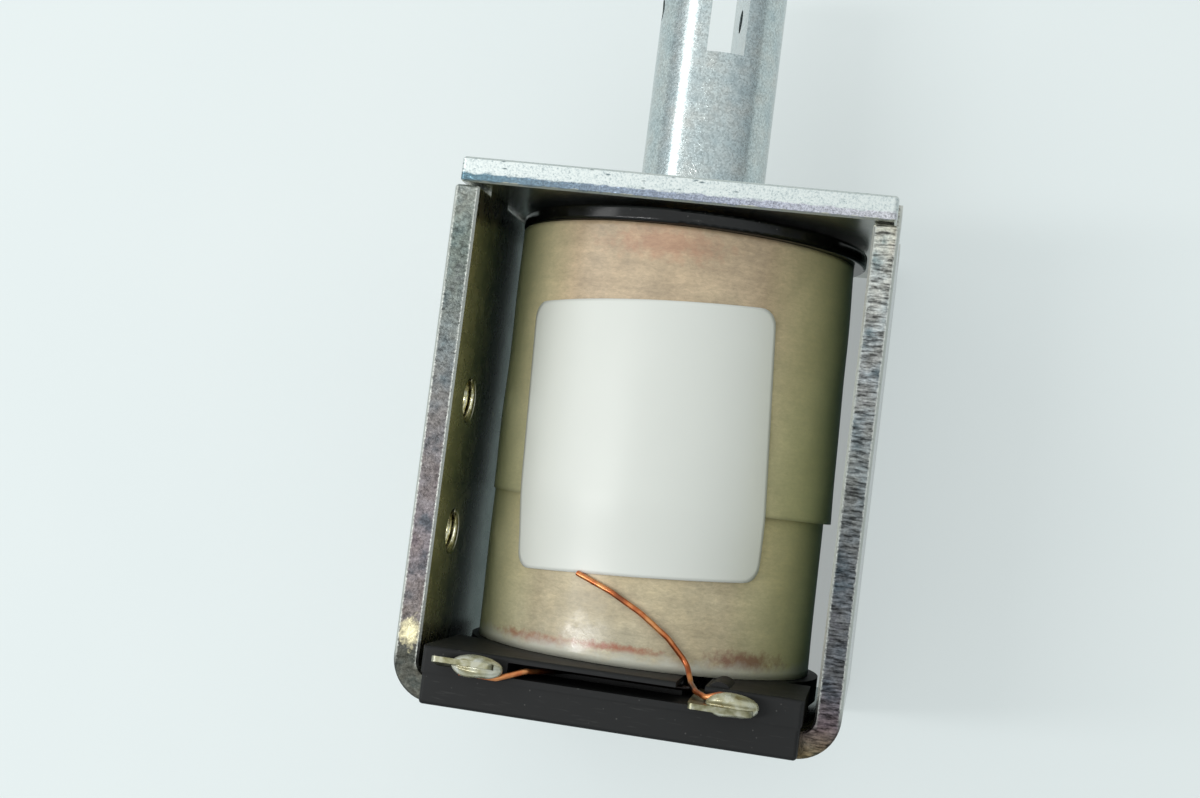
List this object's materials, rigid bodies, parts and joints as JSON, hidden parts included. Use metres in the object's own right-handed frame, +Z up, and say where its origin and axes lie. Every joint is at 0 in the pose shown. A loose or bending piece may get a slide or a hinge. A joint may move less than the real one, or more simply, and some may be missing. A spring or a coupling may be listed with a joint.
{
  "type": "open-frame pull solenoid",
  "caption": "Open-frame pull solenoid: taped coil in a U-shaped steel frame with an end plate, two solder tabs, and a plunger slotted and cross-drilled for a clevis pin.",
  "frame": {"origin": "middle of the footprint of the part's overall box, on the surface that it lies on, with the plunger drawn out as in the picture", "axes": "+Y along the plunger, out of the end plate; +Z up, the side that the solder tabs stand out of; +X to the right, so the leg with the tapped holes is at -X"},
  "size_m": [0.0412, 0.0756, 0.043],
  "materials": {
    "frame_steel": "zinc plated, satin, with a faint passivate tint",
    "plate_steel": "zinc plated, satin",
    "core_steel": "zinc plated, machined",
    "disc_brass": "plain brass",
    "tube_brass": "drawn, plain brass",
    "bobbin_plastic": "black moulded, semi-gloss",
    "magnet_wire": "enamelled copper, so brass stands in for copper",
    "film": "amber film",
    "tape": "thin varnished fibre tape, olive tan",
    "label_face": "satin off-white, bare",
    "tab_plating": "tinned brass",
    "solder": "tin-lead solder, bright",
    "plunger_steel": "zinc plated, fine bright grain"
  },
  "bodies": {
    "body": {"frame": "frame_steel", "end_plate": "plate_steel", "pole_piece": "core_steel", "shim_disc": "disc_brass", "guide_tube": "tube_brass", "bobbin": "bobbin_plastic", "winding": "magnet_wire", "start_lead_insulation": "film", "inner_tape": "tape", "outer_tape": "tape", "label": "label_face", "terminal_left": "tab_plating", "terminal_right": "tab_plating", "start_lead": "magnet_wire", "finish_lead": "magnet_wire", "solder_left": "solder", "solder_right": "solder"},
    "plunger": {"plunger": "plunger_steel"}
  },
  "joints": [
    {"name": "plunger_slide", "type": "slide", "parent": "body", "child": "plunger", "axis": [0, 1, 0], "range_m": [-0.0127, 0.01]}
  ]
}
